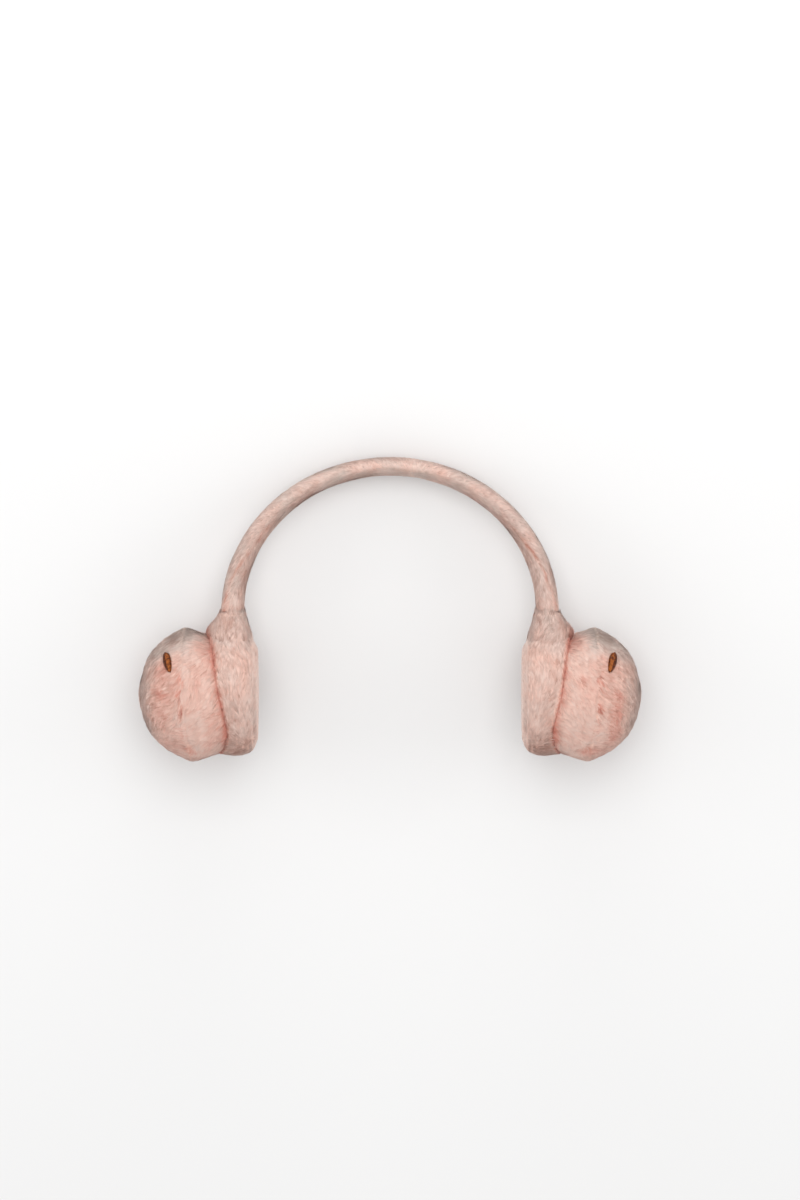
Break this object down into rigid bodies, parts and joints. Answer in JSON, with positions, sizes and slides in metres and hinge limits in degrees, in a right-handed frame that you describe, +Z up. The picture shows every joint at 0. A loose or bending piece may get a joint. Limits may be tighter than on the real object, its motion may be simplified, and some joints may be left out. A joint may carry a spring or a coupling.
{
  "type": "fur earmuffs",
  "caption": "Fur earmuffs: a sprung headband in a fur sleeve, with a flat-faced ear pad and a stuffed fur puff at each end.",
  "frame": {"origin": "on the floor under the middle of the whole, which lies on its back on the puffs and the crown", "axes": "+X from the wearer's one ear to the other, +Y from the ears to the crown, and +Z up, out of the front"},
  "size_m": [0.3238, 0.1942, 0.0883],
  "materials": {
    "band_fur": "short dense pale pink fur",
    "pad_fur": "short dense pale pink fur",
    "puff_fur": "dense salmon pink fur, greyer at the top",
    "embroidery": "brown satin stitch"
  },
  "bodies": {
    "root": {"headband": "band_fur", "left_ear_pad": "pad_fur", "left_puff": "puff_fur", "left_embroidered_almond": "embroidery", "right_ear_pad": "pad_fur", "right_puff": "puff_fur", "right_embroidered_almond": "embroidery"}
  },
  "joints": []
}
